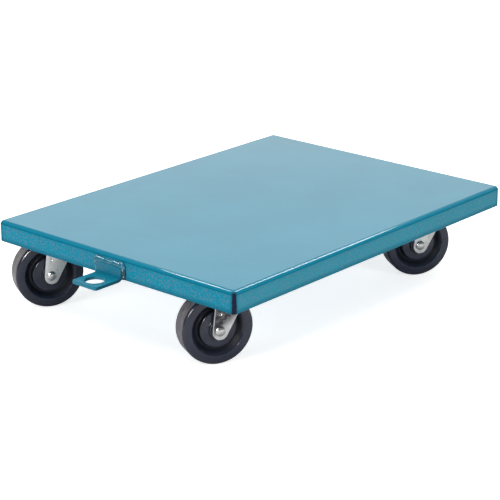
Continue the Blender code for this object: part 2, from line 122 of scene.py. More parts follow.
def rounded(points, closed=True, steps=4):
    """A polygon with its corners rounded. Each point is (a, b) or (a, b, radius)."""
    count = len(points)
    out = []
    for k, p in enumerate(points):
        radius = p[2] if len(p) > 2 else 0
        here = Vector(p[:2])
        if radius <= 0 or (not closed and k in (0, count - 1)):
            out.append(tuple(here))
            continue
        before = (Vector(points[k - 1][:2]) - here).normalized()
        after = (Vector(points[(k + 1) % count][:2]) - here).normalized()
        half = before.angle(after) / 2
        if half > math.radians(88):
            out.append(tuple(here))
            continue
        back = radius / math.tan(half)
        centre = here + (before + after).normalized() * radius / math.sin(half)
        a = here + before * back - centre
        turn = (here + after * back - centre).angle_signed(a)
        for s in range(steps + 1):
            out.append(tuple(centre + Matrix.Rotation(turn * s / steps, 2) @ a))
    return out


def turned(profile, steps, name, closed=True, axis="Z", sharp=34, as_bm=False):
    bm = bmesh.new()
    pts = [(r, 0, h) if axis == "Z" else (r, h, 0) for r, h in profile]
    verts = [bm.verts.new(p) for p in pts]
    edges = [bm.edges.new(pair) for pair in zip(verts, verts[1:])]
    if closed:
        edges.append(bm.edges.new((verts[-1], verts[0])))
    bmesh.ops.spin(
        bm,
        geom=verts + edges,
        cent=(0, 0, 0),
        axis=(0, 0, 1) if axis == "Z" else (0, 1, 0),
        angle=math.tau,
        steps=steps,
        use_merge=True,
        use_duplicate=False,
    )
    bmesh.ops.remove_doubles(bm, verts=bm.verts, dist=1e-7)
    return bm if as_bm else mesh_from(bm, name, sharp)


def slab(outline, holes, low, high):
    """A flat plate with holes, as a bmesh whose two big faces are triangulated."""
    bm = bmesh.new()
    edges = []
    for loop in [outline, *holes]:
        verts = [bm.verts.new((x, y, low)) for x, y in loop]
        edges += [bm.edges.new((verts[k], verts[(k + 1) % len(verts)])) for k in range(len(verts))]
    bmesh.ops.triangle_fill(bm, use_beauty=True, use_dissolve=False, edges=edges)
    grown = bmesh.ops.extrude_face_region(bm, geom=bm.faces[:])
    up = [v for v in grown["geom"] if isinstance(v, bmesh.types.BMVert)]
    bmesh.ops.translate(bm, verts=up, vec=(0, 0, high - low))
    bmesh.ops.recalc_face_normals(bm, faces=bm.faces)
    return bm


def prism(outline, low, high, along):
    """A closed outline extruded along X (pairs are y, z) or along Y (pairs are x, z)."""
    bm = bmesh.new()
    if along == "X":
        verts = [bm.verts.new((low, a, b)) for a, b in outline]
        move = (high - low, 0, 0)
    else:
        verts = [bm.verts.new((a, low, b)) for a, b in outline]
        move = (0, high - low, 0)
    grown = bmesh.ops.extrude_face_region(bm, geom=[bm.faces.new(verts)])
    far = [v for v in grown["geom"] if isinstance(v, bmesh.types.BMVert)]
    bmesh.ops.translate(bm, verts=far, vec=move)
    bmesh.ops.recalc_face_normals(bm, faces=bm.faces)
    return bm


def as_mesh(bm, name="part"):
    mesh = bpy.data.meshes.new(name)
    bm.to_mesh(mesh)
    bm.free()
    return mesh


def boolean(a, b, operation, name):
    base, tool = bpy.data.objects.new("base", a), bpy.data.objects.new("tool", b)
    for o in (base, tool):
        bpy.context.scene.collection.objects.link(o)
    step = base.modifiers.new("cut", "BOOLEAN")
    step.operation, step.solver, step.object = operation, "EXACT", tool
    bpy.context.view_layer.update()
    made = bpy.data.meshes.new_from_object(base.evaluated_get(bpy.context.evaluated_depsgraph_get()))
    bpy.data.objects.remove(base)
    bpy.data.objects.remove(tool)
    made.name = name
    made.materials.clear()
    return made


def soften(mesh, width, segments=2, angle=50, keep=lambda edge: True, name=None):
    """Rounds the edges of a mesh that turn by more than an angle."""
    bm = bmesh.new()
    bm.from_mesh(mesh)
    bmesh.ops.remove_doubles(bm, verts=bm.verts, dist=2e-6)
    bmesh.ops.dissolve_limit(bm, angle_limit=math.radians(0.4), verts=bm.verts, edges=bm.edges)
    limit = math.radians(angle)
    picked = [e for e in bm.edges if len(e.link_faces) == 2 and e.calc_face_angle() > limit and keep(e)]
    bmesh.ops.bevel(
        bm,
        geom=picked,
        offset=width,
        offset_type="OFFSET",
        segments=segments,
        profile=0.5,
        affect="EDGES",
        clamp_overlap=True,
    )
    return mesh_from(bm, name or mesh.name, sharp=30)


def rounded_rectangle(half_x, half_y, radius, steps):
    out = []
    for sx, sy, start in ((1, 1, 0), (-1, 1, 90), (-1, -1, 180), (1, -1, 270)):
        out += arc((sx * (half_x - radius), sy * (half_y - radius)), radius, start, start + 90, steps)
    return out


# ================================================================ material helpers
class Nodes:
    """Small helper for building a node tree."""

    def __init__(self, name):
        self.mat = bpy.data.materials.new(name)
        self.mat.use_nodes = True
        self.tree = self.mat.node_tree
        self.shader = self.tree.nodes["Principled BSDF"]
        self.coords = self.tree.nodes.new("ShaderNodeTexCoord").outputs["Object"]

    def new(self, kind, **values):
        node = self.tree.nodes.new(kind)
        for key, value in values.items():
            setattr(node, key, value)
        return node

    def link(self, out, into):
        self.tree.links.new(out, into)

    def put(self, socket, value):
        if hasattr(value, "is_output"):
            self.link(value, socket)
        else:
            socket.default_value = value

    def math(self, op, a, b=0.0, c=None, clamp=False):
        node = self.new("ShaderNodeMath", operation=op, use_clamp=clamp)
        self.put(node.inputs[0], a)
        self.put(node.inputs[1], b)
        if c is not None:
            self.put(node.inputs[2], c)
        return node.outputs[0]

    def noise(self, scale, detail=3.0, rough=0.5, vector=None, distortion=0.0):
        node = self.new("ShaderNodeTexNoise")
        self.link(vector or self.coords, node.inputs["Vector"])
        node.inputs["Scale"].default_value = scale
        node.inputs["Detail"].default_value = detail
        node.inputs["Roughness"].default_value = rough
        node.inputs["Distortion"].default_value = distortion
        return node.outputs["Fac"]

    def voronoi(self, scale, vector=None, feature="F1"):
        node = self.new("ShaderNodeTexVoronoi", feature=feature)
        self.link(vector or self.coords, node.inputs["Vector"])
        node.inputs["Scale"].default_value = scale
        return node.outputs["Distance"]

    def stretch(self, x, y, z):
        node = self.new("ShaderNodeMapping")
        self.link(self.coords, node.inputs["Vector"])
        node.inputs["Scale"].default_value = (x, y, z)
        return node.outputs["Vector"]

    def split(self, vector=None):
        node = self.new("ShaderNodeSeparateXYZ")
        self.link(vector or self.coords, node.inputs[0])
        return node.outputs[0], node.outputs[1], node.outputs[2]

    def span(self, value, low, high, to_low=0.0, to_high=1.0):
        node = self.new("ShaderNodeMapRange", interpolation_type="SMOOTHSTEP")
        self.put(node.inputs["Value"], value)
        for key, v in (("From Min", low), ("From Max", high), ("To Min", to_low), ("To Max", to_high)):
            node.inputs[key].default_value = v
        return node.outputs["Result"]

    def mix(self, factor, a, b, blend="MIX"):
        node = self.new("ShaderNodeMix", data_type="RGBA", blend_type=blend)
        self.put(node.inputs["Factor"], factor)
        for socket, value in ((node.inputs[6], a), (node.inputs[7], b)):
            if isinstance(value, tuple):
                value = (*value, 1.0) if len(value) == 3 else value
            self.put(socket, value)
        return node.outputs[2]

    def bump(self, height, distance, strength=1.0, normal=None):
        node = self.new("ShaderNodeBump")
        self.put(node.inputs["Height"], height)
        node.inputs["Distance"].default_value = distance
        self.put(node.inputs["Strength"], strength)
        if normal is not None:
            self.link(normal, node.inputs["Normal"])
        return node.outputs["Normal"]

    def set(self, **values):
        names = {
            "colour": "Base Color",
            "rough": "Roughness",
            "metal": "Metallic",
            "normal": "Normal",
            "coat": "Coat Weight",
            "coat_rough": "Coat Roughness",
            "specular": "Specular IOR Level",
            "coat_normal": "Coat Normal",
        }
        for key, value in values.items():
            if isinstance(value, tuple) and len(value) == 3:
                value = (*value, 1.0)
            self.put(self.shader.inputs[names[key]], value)
        return self.mat


def edge_mask(n, radius, low=0.02, high=0.22):
    """White where the surface turns sharply, from the difference between the true and the rounded normal."""
    bevel = n.new("ShaderNodeBevel", samples=6)
    bevel.inputs["Radius"].default_value = radius
    true = n.new("ShaderNodeNewGeometry").outputs["Normal"]
    dot = n.new("ShaderNodeVectorMath", operation="DOT_PRODUCT")
    n.link(bevel.outputs[0], dot.inputs[0])
    n.link(true, dot.inputs[1])
    return n.span(n.math("SUBTRACT", 1.0, dot.outputs["Value"]), low, high)


def teal(name, seams=False, weld=False, tab=False):
    """Gloss teal enamel over steel: a smooth film on the load face, mottled orange peel on the upright faces."""
    n = Nodes(name)
    normal = n.new("ShaderNodeNewGeometry").outputs["Normal"]
    _, facing, lift = n.split(normal)
    level = n.math("ABSOLUTE", lift)
    upright = n.span(level, 0.75, 0.15)
    bend = n.span(n.math("ABSOLUTE", n.math("SUBTRACT", level, 0.56)), 0.425, 0.36)
    cloud = n.noise(9.0, 3, 0.55)
    grain = n.noise(520.0, 3, 0.7)
    mottle = n.noise(360.0, 3, 0.66, distortion=0.2)
    # Painted shade: the tab and the weld are the deck's enamel painted darker.
    dark = 0.78 if tab or weld else 1.0
    colour = n.mix(
        n.span(cloud, 0.3, 0.7),
        (0.004 * dark, 0.222 * dark, 0.332 * dark),
        (0.008 * dark, 0.245 * dark, 0.362 * dark),
    )
    pale = n.math("MULTIPLY_ADD", upright, 0.62, 0.0 if tab or weld else 0.08)
    colour = n.mix(n.math("MULTIPLY", n.span(mottle, 0.46, 0.62), pale), colour, (0.11 * dark, 0.228 * dark, 0.345 * dark))
    colour = n.mix(n.math("MULTIPLY", n.span(mottle, 0.5, 0.38), n.math("MULTIPLY", upright, 0.7)), colour, (0.0, 0.29 * dark, 0.42 * dark))
    colour = n.mix(n.math("MULTIPLY", n.span(grain, 0.5, 0.72, 0.0, 0.34), n.math("MULTIPLY_ADD", upright, -0.7, 1.0)), colour, (0.09, 0.24, 0.34))
    if seams:
        # The long skirts are painted greyer than the tow end: a painted sheen for the paler reflection they show.
        skirt_painted_sheen = n.math("MULTIPLY", upright, n.span(n.math("ABSOLUTE", facing), 0.7, 0.95, 0.0, 0.36))
        colour = n.mix(skirt_painted_sheen, colour, (0.075, 0.24, 0.27))
    if tab:
        # Painted shade: the tab's faces that look towards +Y are painted darker.
        colour = n.mix(n.span(facing, 0.6, 0.9, 0.0, 0.7), colour, (0.003, 0.045, 0.075))
    # Painted shade: the bend between the load face and the skirts is painted a deeper teal.
    colour = n.mix(n.math("MULTIPLY", bend, 0.9), colour, (0.0, 0.19 * dark, 0.295 * dark))
    if seams:
        # Painted shade: a darker line where the bend runs out into the skirt.
        foot = n.span(n.math("ABSOLUTE", n.math("SUBTRACT", level, 0.2)), 0.2, 0.08)
        colour = n.mix(n.math("MULTIPLY", foot, 0.7), colour, (0.0, 0.125, 0.195))
    # The load face is evenly glossy; the film on the upright faces varies.
    rough = n.math("MULTIPLY_ADD", n.math("SUBTRACT", n.noise(30.0, 4, 0.6), 0.5), n.math("MULTIPLY", upright, 0.14), 0.3)
    if seams:
        # The upright corners are welded and dressed before painting; the dark line down each one, wider at the foot,
        # is a painted reflection of the dark room, with a painted shade halo round it.
        x, y, z = n.split()
        near_x = n.math("SUBTRACT", HALF_L, n.math("ABSOLUTE", x))
        near_y = n.math("SUBTRACT", HALF_W, n.math("ABSOLUTE", y))
        off = n.math("ABSOLUTE", n.math("SUBTRACT", near_x, near_y))
        at_corner = n.span(n.math("ADD", near_x, near_y), 0.0125, 0.0085)
        wander = n.math("MULTIPLY", n.math("SUBTRACT", n.noise(190.0, 2, 0.5), 0.5), 0.0022)
        half = n.span(z, DECK_TOP - 0.004, RIM, 0.0025, 0.0034)
        off = n.math("ADD", n.math("SUBTRACT", off, half), wander)
        down = n.span(z, DECK_TOP - 0.0008, DECK_TOP - 0.0036)
        halo = n.math("MULTIPLY", n.math("MULTIPLY", n.span(off, 0.0075, 0.0010), at_corner), down)
        line = n.math("MULTIPLY", n.math("MULTIPLY", n.span(off, 0.0026, 0.0002), at_corner), down)
        # Painted shade halo, then the painted reflection line, on each upright corner.
        colour = n.mix(n.math("MULTIPLY", halo, 0.55), colour, (0.0, 0.12, 0.19))
        colour = n.mix(line, colour, (0.014, 0.017, 0.04))
    bead_side_shade = 0.0
    if weld:
        heat = n.span(n.noise(240.0, 3, 0.6), 0.42, 0.66)
        colour = n.mix(n.math("MULTIPLY", heat, 0.4), colour, (0.015, 0.085, 0.135))
        rough = n.math("MULTIPLY", rough, 0.4)
        # Painted shade: the bead's side towards +Y is painted darker and given less coat.
        x, y, z = n.split()
        bead_side_shade = n.math("MULTIPLY", n.span(y, TAB_HI.y - 0.0006, TAB_HI.y + 0.002), n.span(z, TAB_HI.z + 0.0005, TAB_HI.z - 0.006))
        colour = n.mix(n.math("MULTIPLY", bead_side_shade, 0.8), colour, (0.006, 0.03, 0.05))
    wave = n.bump(n.noise(7.0, 2, 0.5), 0.0008, 0.15)
    peel = n.bump(n.noise(300.0, 2, 0.4), 0.00006, n.math("MULTIPLY_ADD", upright, 0.6, 0.12), wave)
    fine = n.bump(grain, 0.00002, 0.35, peel)
    shine = 0.4 if tab else n.math("MULTIPLY_ADD", upright, -0.88, 1.0)
    coat = n.math("MULTIPLY_ADD", bead_side_shade, -0.85, 1.0) if weld else n.math("MULTIPLY", n.math("MULTIPLY_ADD", bend, 1.6, 1.0), n.math("MULTIPLY", shine, 0.26))
    specular = 0.5 if weld else n.math("MULTIPLY", n.math("MULTIPLY_ADD", bend, -0.7, 1.0), n.math("MULTIPLY", shine, 0.26))
    return n.set(
        colour=colour,
        rough=rough,
        metal=0.0,
        normal=fine,
        coat=coat,
        coat_rough=0.05,
        coat_normal=peel,
        specular=specular,
    )


def zinc(name, tint=(0.74, 0.745, 0.735), dull=0.0, shade=0.0, rim=False, deep=0.78):
    """Bright zinc plate on pressed steel: cloudy, faint rolling lines, darker specks, a blue and straw cast."""
    n = Nodes(name)
    cloud = n.noise(70.0, 5, 0.62, distortion=0.4)
    straw = n.noise(38.0, 2, 0.5)
    colour = n.mix(n.span(cloud, 0.3, 0.72), tint, tuple(c * deep for c in tint))
    colour = n.mix(n.span(straw, 0.5, 0.8, 0.0, 0.2), colour, (0.72, 0.68, 0.58))
    colour = n.mix(n.span(n.noise(900.0, 2, 0.6), 0.68, 0.76, 0.0, 0.5), colour, (0.2, 0.2, 0.21))
    lines = n.noise(210.0, 3, 0.6, n.stretch(1, 1, 0.06))
    rough = n.math("ADD", n.span(cloud, 0.25, 0.8, 0.24 + dull, 0.42 + dull), n.span(lines, 0.4, 0.8, 0.0, 0.1))
    if shade:
        # Painted shade: a patch painted over the upper part of each leg, fading along a slant towards its round end.
        x, y, z = n.split()
        above = n.math("SUBTRACT", z, n.math("MULTIPLY_ADD", x, -0.75, 0.0745))
        patch = n.math("MULTIPLY", n.span(above, -0.006, 0.012), n.span(n.noise(190.0, 4, 0.65), 0.3, 0.62, 0.8, 1.0))
        colour = n.mix(n.math("MULTIPLY", patch, shade), colour, (0.026, 0.024, 0.034))
    edge_highlight = edge_mask(n, 0.0011)
    if rim:
        # Painted highlight: the sheared edges of the legs are painted pale too.
        facing = n.new("ShaderNodeTexCoord").outputs["Normal"]
        sheared = n.span(n.math("ABSOLUTE", n.split(facing)[1]), 0.97, 0.75)
        edge_highlight = n.math("MAXIMUM", edge_highlight, n.math("MULTIPLY", sheared, n.span(n.split()[2], 0.106, 0.098)))
    # Painted highlight: pale colour along the plate's sharp edges.
    colour = n.mix(n.math("MULTIPLY", edge_highlight, 0.85), colour, (0.95, 0.95, 0.94))
    bumped = n.bump(n.noise(520.0, 3, 0.6), 0.00003, 0.6, n.bump(lines, 0.00003, 0.4))
    # The edges under the painted highlight are also less metallic, so they catch light from every side.
    return n.set(colour=colour, rough=rough, metal=n.math("MULTIPLY_ADD", edge_highlight, -0.8, 1.0), normal=bumped)


def polished(name):
    """Ground bearing steel under a smear of grease."""
    n = Nodes(name)
    smear = n.span(n.noise(120.0, 4, 0.6, distortion=0.6), 0.45, 0.68)
    colour = n.mix(n.math("MULTIPLY", smear, 0.6), (0.6, 0.61, 0.63), (0.2, 0.15, 0.09))
    rough = n.math("ADD", 0.14, n.math("MULTIPLY", smear, 0.22))
    bumped = n.bump(n.noise(900.0, 2, 0.5), 0.00002, 0.4)
    return n.set(colour=colour, rough=rough, metal=1.0, normal=bumped)


def wheel_black(name):
    """Hard moulded black: semi-gloss faces with faint turned rings, a scuffed and dusty tread."""
    n = Nodes(name)
    x, y, z = n.split()
    radius = n.math("SQRT", n.math("ADD", n.math("MULTIPLY", x, x), n.math("MULTIPLY", z, z)))
    side = n.math("ABSOLUTE", y)
    wander = n.math("MULTIPLY", n.math("SUBTRACT", n.noise(85.0, 3, 0.6), 0.5), 0.006)
    tread = n.math("MULTIPLY", n.span(radius, 0.0492, 0.0502), n.span(n.math("ADD", side, wander), 0.0128, 0.0102))
    groove = n.math("MULTIPLY", n.span(side, 0.0137, 0.0118), n.span(radius, 0.0425, 0.0395))
    cloud = n.noise(60.0, 4, 0.6)
    fleck = n.noise(700.0, 3, 0.65)
    colour = n.mix(n.span(cloud, 0.3, 0.72), (0.014, 0.018, 0.034), (0.023, 0.028, 0.048))
    colour = n.mix(n.span(fleck, 0.55, 0.75, 0.0, 0.35), colour, (0.05, 0.05, 0.07))
    # Painted shade: the groove is painted near black.
    colour = n.mix(n.math("MULTIPLY", groove, 0.75), colour, (0.006, 0.007, 0.012))
    # Dust settles on the running band of the tread.
    dust = n.math("MULTIPLY", n.span(n.noise(110.0, 5, 0.65), 0.42, 0.75), tread)
    scuffs = n.span(n.noise(200.0, 4, 0.7, n.stretch(1, 0.18, 1)), 0.46, 0.7)
    colour = n.mix(n.math("MULTIPLY", tread, 0.7), colour, (0.17, 0.15, 0.16))
    colour = n.mix(n.math("MULTIPLY", dust, 0.6), colour, (0.28, 0.24, 0.235))
    colour = n.mix(n.math("MULTIPLY", n.math("MULTIPLY", scuffs, tread), 0.35), colour, (0.09, 0.08, 0.088))
    rings = n.math("SINE", n.math("MULTIPLY", radius, 9500.0))
    rings = n.math("MULTIPLY", rings, n.math("SUBTRACT", 1.0, tread))
    nick = n.span(n.noise(160.0, 4, 0.75), 0.7, 0.74)
    rough = n.span(n.noise(48.0, 4, 0.6), 0.3, 0.75, 0.11, 0.19)
    rough = n.math("ADD", rough, n.math("MULTIPLY", n.math("MAXIMUM", tread, groove), 0.26), clamp=True)
    bumped = n.bump(rings, 0.000012, 0.5)
    bumped = n.bump(n.noise(420.0, 3, 0.55), 0.00003, 0.4, bumped)
    bumped = n.bump(nick, 0.0001, 0.4, bumped)
    return n.set(colour=colour, rough=rough, metal=0.0, normal=bumped, specular=n.math("MULTIPLY_ADD", groove, -0.3, 0.5))


TEAL = teal("teal_enamel_deck", seams=True)
TEAL_TAB = teal("teal_enamel_tab", tab=True)
TEAL_WELD = teal("teal_enamel_weld", weld=True)
ZINC = zinc("zinc_plate")
ZINC_FORK = zinc("zinc_plate_fork", rim=True)
ZINC_SHADE_PATCHED = zinc("zinc_plate_smoked", shade=0.97, rim=True)
ZINC_SHADED_GREY = zinc("zinc_plate_grey", (0.66, 0.675, 0.665), rim=True)
ZINC_HEAD = zinc("zinc_plate_heads", (0.78, 0.785, 0.78), -0.13, deep=0.42)
ZINC_DULL = zinc("zinc_plate_dull", (0.56, 0.56, 0.55), 0.1)
STEEL = polished("bearing_steel")
BLACK = wheel_black("black_wheel")


# ================================================================ deck
def deck_mesh():
    corner_steps, bend_steps = 10, 12

    def skin(inset, radius):
        corner = CORNER - inset
        out = []
        edge = 0.5 * MM
        # A small round on the cut edge at the skirts' foot, on each side of the sheet.
        way = 1 if inset == 0 else -1
        for k in range(4):
            turn = math.radians(30 * k)
            out.append((inset + way * edge * (1 - math.sin(turn)), RIM + edge * (1 - math.cos(turn))))
        out.append((inset, RIM + 9 * MM))
        out.append((inset, RIM + 17 * MM))
        for k in range(bend_steps + 1):
            turn = math.radians(90) * k / bend_steps
            out.append((inset + radius * (1 - math.cos(turn)), DECK_TOP - BEND + radius * math.sin(turn)))
        return [(i, max(corner - (i - inset), 0.0), h) for i, h in out]

    bm = bmesh.new()

    def ring(inset, radius, height):
        outline = rounded_rectangle(HALF_L - inset, HALF_W - inset, radius, corner_steps)
        return [bm.verts.new((x, y, height)) for x, y in outline]

    def joined(a, b):
        for k in range(len(a)):
            n = (k + 1) % len(a)
            bm.faces.new((a[k], a[n], b[n], b[k]))

    outer = [ring(*spec) for spec in skin(0.0, BEND)]
    inner = [ring(*spec) for spec in skin(SHEET, BEND - SHEET)]
    for loops in (outer, inner):
        for a, b in zip(loops, loops[1:]):
            joined(a, b)
    joined(outer[0], inner[0])
    bmesh.ops.remove_doubles(bm, verts=bm.verts, dist=1e-6)
    bmesh.ops.dissolve_degenerate(bm, dist=1e-7, edges=bm.edges)
    filled = bmesh.ops.holes_fill(bm, edges=[e for e in bm.edges if e.is_boundary], sides=0)
    mesh = mesh_from(bm, "deck_pan_enamelled", 38)
    return mesh


DECK_AT = Matrix.Translation((DECK_X, 0, 0))
add("deck_pan_enamelled", deck_mesh(), TEAL, "deck", ("deck_pan",), DECK_AT)


# ================================================================ tow tab and weld
def tab_mesh():
    thick, inner_bend = 4.76 * MM, 4.0 * MM
    near, far = TAB_LO.x, TAB_HI.x
    low, high, bottom = TAB_LO.y, TAB_HI.y, TAB_LO.z
    outer_bend = inner_bend + thick
    centre = (near + outer_bend, bottom + outer_bend)
    side = (
        [(far, bottom), (far, bottom + thick)]
        + arc(centre, inner_bend, 270, 180, 10)
        + [(near + thick, TAB_HI.z), (near, TAB_HI.z)]
        + arc(centre, outer_bend, 180, 270, 10)
    )
    bar = as_mesh(prism(side, low, high, "Y"))
    corner = 4.5 * MM
    back = near - 5 * MM
    step = far - corner - 10 * MM
    plan = (
        [(back, low - 5 * MM), (step, low - 5 * MM), (step, low)]
        + arc((far - corner, low + corner), corner, 270, 360, 8)
        + arc((far - corner, high - corner), corner, 0, 90, 8)
        + [(step, high), (step, high + 5 * MM), (back, high + 5 * MM)]
    )
    hair = 0.04 * MM
    plan = [(x + hair if x > step + 1e-5 else x, y + (hair if y > (low + high) / 2 else -hair)) for x, y in plan]
    hole = arc((DECK_X + HALF_L + 30.5 * MM, (low + high) / 2), 14.1 * MM, 0, 360, 72)[:-1]
    trim = as_mesh(slab(plan, [hole], bottom - 10 * MM, TAB_HI.z + 10 * MM))
    return soften(boolean(bar, trim, "INTERSECT", "tab"), 0.55 * MM, 3, 50, name="tow_tab_enamelled")


add("tow_tab_enamelled", tab_mesh(), TEAL_TAB, "deck", ("tow_tab",))


def weld_mesh():
    """A hand-laid bead: a lumpy, rippled roll round three sides of the tab's upright leg, heaped where it turns."""
    low, high = TAB_LO.y, TAB_HI.y
    skirt = DECK_X + HALF_L
    foot, top = RIM + 0.3 * MM, TAB_HI.z + 1.6 * MM
    left, right = low - 1.5 * MM, high + 1.5 * MM
    turn = 2.5 * MM
    line = (
        [Vector((left, foot + (top - turn - foot) * k / 24)) for k in range(25)]
        + [Vector(p) for p in arc((left + turn, top - turn), turn, 180, 90, 8)[1:]]
        + [Vector((left + turn + (right - left - 2 * turn) * k / 60, top)) for k in range(1, 61)]
        + [Vector(p) for p in arc((right - turn, top - turn), turn, 90, 0, 8)[1:]]
        + [Vector((right, top - turn - (top - turn - foot) * k / 24)) for k in range(1, 25)]
    )
    sides = 20
    bm = bmesh.new()
    rings, run = [], 0.0
    total = sum((b - a).length for a, b in zip(line, line[1:]))
    for k, p in enumerate(line):
        if k:
            run += (p - line[k - 1]).length
        ahead = line[min(k + 1, len(line) - 1)] - line[max(k - 1, 0)]
        ahead.normalize()
        side = Vector((-ahead.y, ahead.x))  # outwards, in the skirt's plane
        end = min(run, total - run)
        close = math.sqrt(max(0.0, 1 - (1 - min(end / (3.4 * MM), 1)) ** 2)) * 0.9 + 0.1
        corner = max(
            math.exp(-(((p - Vector((left + turn, top))).length / (4.6 * MM)) ** 2)),
            math.exp(-(((p - Vector((right - turn, top))).length / (4.6 * MM)) ** 2)),
        )
        lump = noise.noise(Vector((run * 160, 3.1, 0.0))) * 0.75 * MM + noise.noise(Vector((run * 420, 7.7, 1.0))) * 0.35 * MM
        ring = []
        for s in range(sides):
            a = math.tau * s / sides
            # The ripple's crests lag at the edges of the bead, as weld scallops do.
            scallop = 0.26 * MM * math.cos((run + 1.5 * MM * abs(math.cos(a))) / (2.9 * MM) * math.tau)
            grain = noise.noise(Vector((run * 300, math.cos(a) * 1.4, math.sin(a) * 1.4))) * 0.9 * MM
            r = (4.0 * MM + 1.9 * MM * corner + lump + scallop + grain) * close
            across, out = math.cos(a) * r, math.sin(a) * r * 1.05
            q = p + side * across
            ring.append(bm.verts.new((skirt + 0.4 * MM + max(out, -0.3 * MM), q.x, q.y)))
        rings.append(ring)
    for a, b in zip(rings, rings[1:]):
        for s in range(sides):
            bm.faces.new((a[s], a[(s + 1) % sides], b[(s + 1) % sides], b[s]))
    bm.faces.new(rings[0])
    bm.faces.new(rings[-1])
    mesh = mesh_from(bm, "tow_tab_weld_bead", 75)
    return mesh


add("tow_tab_weld_bead", weld_mesh(), TEAL_WELD, "deck", ("tow_tab_weld",))


# ================================================================ caster pieces, about the kingpin axis
def wheel_mesh():
    half = [
        (11.0, 18.9, 0.4),
        (13.2, 18.9, 0.7),
        (14.0, 14.4, 1.0),
        (25.9, 14.4, 1.7),
        (26.9, 7.0, 0.8),
        (30.6, 7.0, 1.2),
        (38.2, 15.9, 0.4),
        (50.8, 15.9, 3.8),
        (50.8, 0.55),
        (50.68, 0.0),
    ]
    outline = [(r * MM, h * MM, *(q * MM for q in rest)) for r, h, *rest in half]
    outline += [(r, -h, *rest) for r, h, *rest in reversed(outline[:-1])]
    return turned(rounded(outline, steps=5), 128, "wheel", axis="Y", sharp=40)


def fork_mesh():
    sheet, inner, crown = 3.0 * MM, 19.8 * MM, 114.4 * MM
    outer, bend = inner + sheet, 6.0 * MM
    cz = crown - bend
    channel = (
        [(outer, 20 * MM)]
        + arc((outer - bend, cz), bend, 0, 90, 8)
        + arc((-outer + bend, cz), bend, 90, 180, 8)
        + [(-outer, 20 * MM), (-inner, 20 * MM)]
        + arc((-inner + bend - sheet, cz), bend - sheet, 180, 90, 8)
        + arc((inner - bend + sheet, cz), bend - sheet, 90, 0, 8)
        + [(inner, 20 * MM)]
    )
    blank = as_mesh(prism(channel, -45 * MM, 60 * MM, "X"))
    cx, cy, radius = 32.6 * MM, 48.5 * MM, 10.5 * MM
    front, back = 0.543, 0.114
    foot = arc(
        (cx, cy),
        radius,
        math.degrees(math.atan2(-front, -1)) % 360,
        math.degrees(math.atan2(back, 1)) + 360,
        28,
    )
    (fx, fz), (bx, bz) = foot[0], foot[-1]
    top, shoulder_z = crown + 6 * MM, 97 * MM
    shoulder_x = bx - back * (shoulder_z - bz)
    side = (
        foot
        + [(shoulder_x, shoulder_z)]
        + arc((shoulder_x - 13 * MM, shoulder_z + 1.5 * MM), 13 * MM, 8, 72, 10)
        + [(21 * MM, crown + 0.5 * MM), (21 * MM, top), (fx - front * (top - fz), top)]
    )
    legs = boolean(blank, as_mesh(prism(side, -30 * MM, 30 * MM, "Y")), "INTERSECT", "legs")
    legs = soften(legs, 0.85 * MM, 3, 60)
    cup = turned(
        rounded(
            [
                (0, 111.1 * MM),
                (25.4 * MM, 111.1 * MM, 1.2 * MM),
                (27.2 * MM, 112.9 * MM, 1.2 * MM),
                (27.2 * MM, 118.6 * MM, 0.6 * MM),
                (24.4 * MM, 118.6 * MM, 0.6 * MM),
                (24.4 * MM, 114.7 * MM, 1.0 * MM),
                (0, 114.7 * MM),
            ],
            closed=False,
        ),
        64,
        "cup",
        closed=False,
    )
    whole = boolean(legs, cup, "UNION", "fork")

    def bar(radius, along, at, steps):
        bm = bmesh.new()
        bmesh.ops.create_cone(bm, cap_ends=True, segments=steps, radius1=radius, radius2=radius, depth=0.06)
        if along == "Y":
            bmesh.ops.rotate(bm, verts=bm.verts, matrix=Matrix.Rotation(math.pi / 2, 3, "X"))
            bmesh.ops.translate(bm, verts=bm.verts, vec=(at[0], 0, at[1]))
        else:
            bmesh.ops.translate(bm, verts=bm.verts, vec=(0, 0, 0.125))
        return as_mesh(bm)

    for cutter in (
        bar(6.0 * MM, "Z", (0, 0), 40),
        bar(5.0 * MM, "Y", (33.34 * MM, 50.8 * MM), 36),
    ):
        whole = boolean(whole, cutter, "DIFFERENCE", "fork")
    # A small pressed dimple, bowl-shaped, in each leg's outer face.
    for side in (1, -1):
        bm = bmesh.new()
        bmesh.ops.create_uvsphere(bm, u_segments=32, v_segments=24, radius=2.9 * MM)
        bmesh.ops.translate(bm, verts=bm.verts, vec=(32.5 * MM, side * (outer + 2.1 * MM), 74.8 * MM))
        whole = boolean(whole, as_mesh(bm), "DIFFERENCE", "fork")
    bm = bmesh.new()
    bm.from_mesh(whole)
    return mesh_from(bm, "fork_plated", 34)


def axle_mesh():
    seat = 23.1 * MM
    end = seat + 3.5 * MM
    dome = [(7.2 * MM * math.sin(math.radians(a)), seat + 0.5 * MM + 3.0 * MM * math.cos(math.radians(a))) for a in range(0, 91, 9)]
    half = [*dome, (7.2 * MM, seat), (4.7 * MM, seat)]
    return turned(half + [(r, -h) for r, h in reversed(half)], 56, "axle_plated", closed=False, axis="Y", sharp=50)


